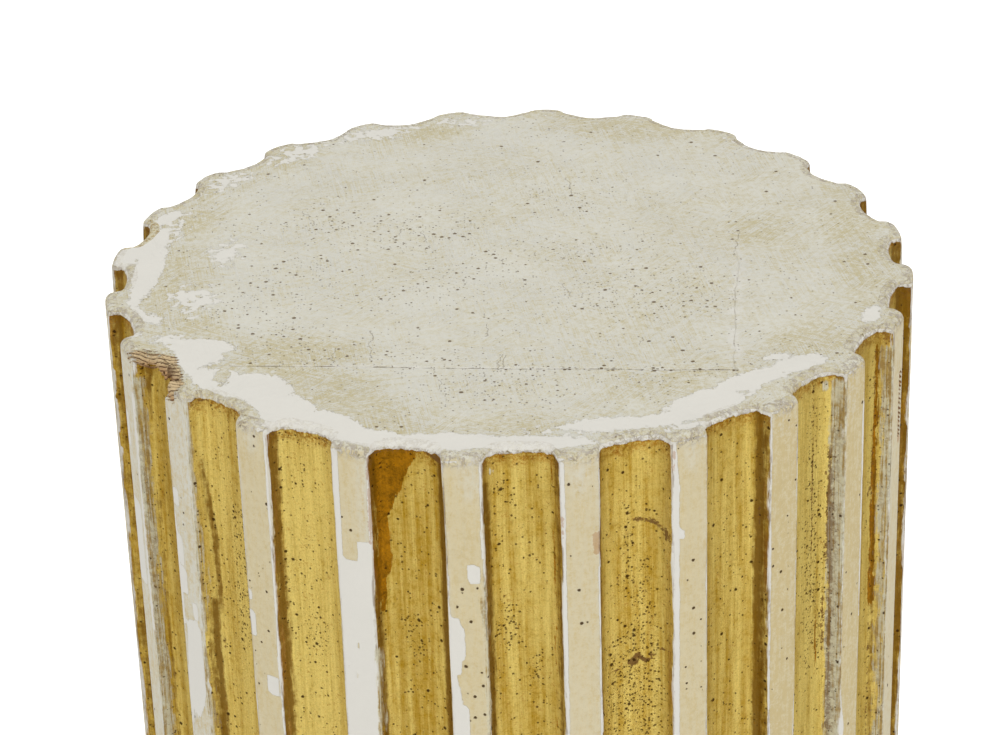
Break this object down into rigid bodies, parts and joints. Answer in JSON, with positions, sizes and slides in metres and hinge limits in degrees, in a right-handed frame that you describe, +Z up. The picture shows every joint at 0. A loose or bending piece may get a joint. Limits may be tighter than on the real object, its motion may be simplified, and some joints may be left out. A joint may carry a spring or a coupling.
{
  "type": "fluted column pedestal",
  "caption": "Round fluted column pedestal of painted and gilded wood, with a flat top for a bust, vase or plant, on a torus moulding and a square plinth.",
  "frame": {"origin": "centre of the plinth's underside, on the floor", "axes": "+Z up along the shaft; -Y through the centre of one flute, on the side that the picture shows; the plinth's sides lie along X and Y"},
  "size_m": [0.4, 0.4, 1.0006],
  "materials": {
    "shaft_paint_and_gilding": "worn gilding in the flutes, chipped putty paint over white gesso on the fillets",
    "top_paint": "matt putty paint over white gesso, brushed and worn",
    "moulding_gilding": "worn gilding",
    "plinth_paint": "chipped putty paint over white gesso"
  },
  "bodies": {
    "root": {"fluted_shaft": "shaft_paint_and_gilding", "top_board": "top_paint", "base_moulding": "moulding_gilding", "plinth": "plinth_paint"}
  },
  "joints": []
}
